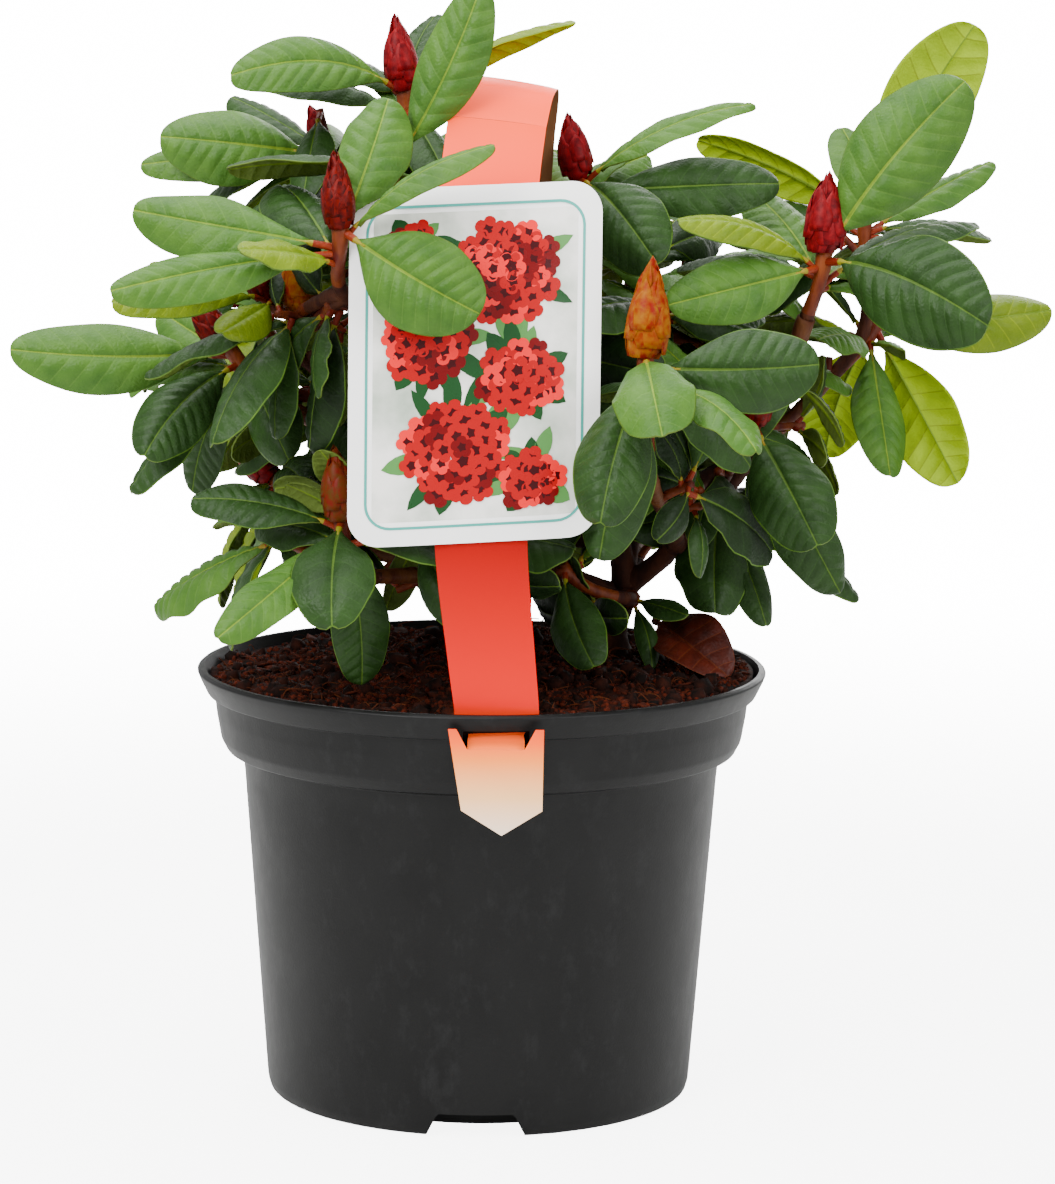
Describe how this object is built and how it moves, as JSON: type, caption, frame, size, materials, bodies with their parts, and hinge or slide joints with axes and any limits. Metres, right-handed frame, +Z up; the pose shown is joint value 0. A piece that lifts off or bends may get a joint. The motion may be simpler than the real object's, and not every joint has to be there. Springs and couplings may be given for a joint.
{
  "type": "potted dwarf rhododendron",
  "caption": "Low spreading evergreen shrub in winter bud, whorls of oval leaves on short woody stems, in a round plastic nursery pot with a plant label on a carrying strap.",
  "frame": {"origin": "middle of the pot's flat underside, on the surface that it stands on", "axes": "+Z up the plant, -Y the front, which the label faces, +X to the right seen from the front"},
  "size_m": [0.3485, 0.2819, 0.3697],
  "materials": {
    "pot": "satin",
    "compost": "matte",
    "label strap": "gloss",
    "label card": "gloss",
    "dead leaf": "matte",
    "bark": "matte",
    "foliage": "satin"
  },
  "bodies": {
    "root": {"bough_back": "bark", "bough_back_centre": "bark", "bough_back_left": "bark", "bough_centre": "bark", "bough_centre_right": "bark", "bough_foot": "bark", "bough_front_low": "bark", "bough_heart": "bark", "bough_left": "bark", "bough_left_low": "bark", "bough_left_upper": "bark", "bough_low_back": "bark", "bough_low_left_back": "bark", "bough_low_right": "bark", "bough_right": "bark", "bough_right_back": "bark", "bough_right_low": "bark", "bough_top": "bark", "compost": "compost", "fallen_leaf": "dead leaf", "foliage_back_centre": "foliage", "foliage_back_left": "foliage", "foliage_back_right": "foliage", "foliage_centre_right": "foliage", "foliage_centre_top": "foliage", "foliage_foot": "foliage", "foliage_front_low": "foliage", "foliage_heart": "foliage", "foliage_left": "foliage", "foliage_left_low": "foliage", "foliage_left_upper": "foliage", "foliage_low_back": "foliage", "foliage_low_left_back": "foliage", "foliage_low_right": "foliage", "foliage_right": "foliage", "foliage_right_back": "foliage", "foliage_right_low": "foliage", "foliage_top": "foliage", "label_card": "label card", "label_strap_back": "label strap", "label_strap_crest": "label strap", "label_strap_front": "label strap", "pot": "pot", "trunk": "bark"}
  },
  "joints": []
}
